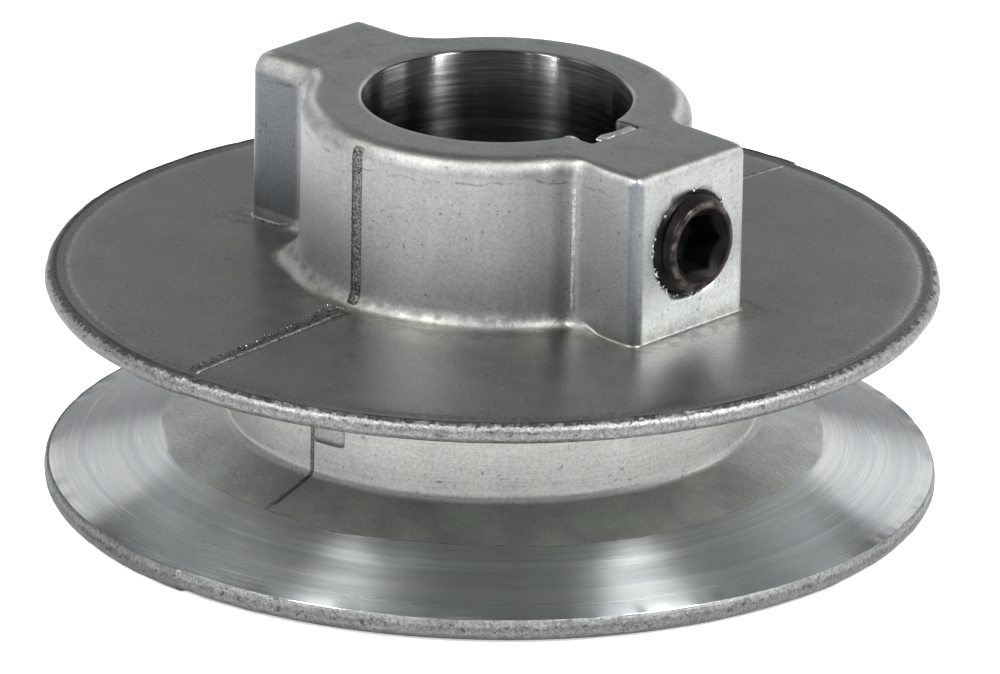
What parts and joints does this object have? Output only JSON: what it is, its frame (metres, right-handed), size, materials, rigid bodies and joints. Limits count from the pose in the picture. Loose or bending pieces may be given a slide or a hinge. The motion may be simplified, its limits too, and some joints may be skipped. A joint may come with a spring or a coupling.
{
  "type": "v belt pulley",
  "caption": "Die-cast V-belt pulley: one deep groove, a raised hub with two opposed lugs, a keyed shaft bore and a socket set screw over the keyway.",
  "frame": {"origin": "on the bore axis, at the flat back face opposite the hub end", "axes": "+Z along the bore towards the hub end, +X through the lug that carries the set screw, +Y across the two lugs"},
  "size_m": [0.0634, 0.0634, 0.029],
  "materials": {
    "cast_zinc": "satin",
    "black_oxide_steel": "satin"
  },
  "bodies": {
    "pulley": {"pulley_body": "cast_zinc"},
    "screw": {"set_screw": "black_oxide_steel"}
  },
  "joints": [
    {"name": "set_screw_travel", "type": "slide", "parent": "pulley", "child": "screw", "axis": [1, 0, 0], "range_m": [-0.00423, 0.00423]}
  ]
}
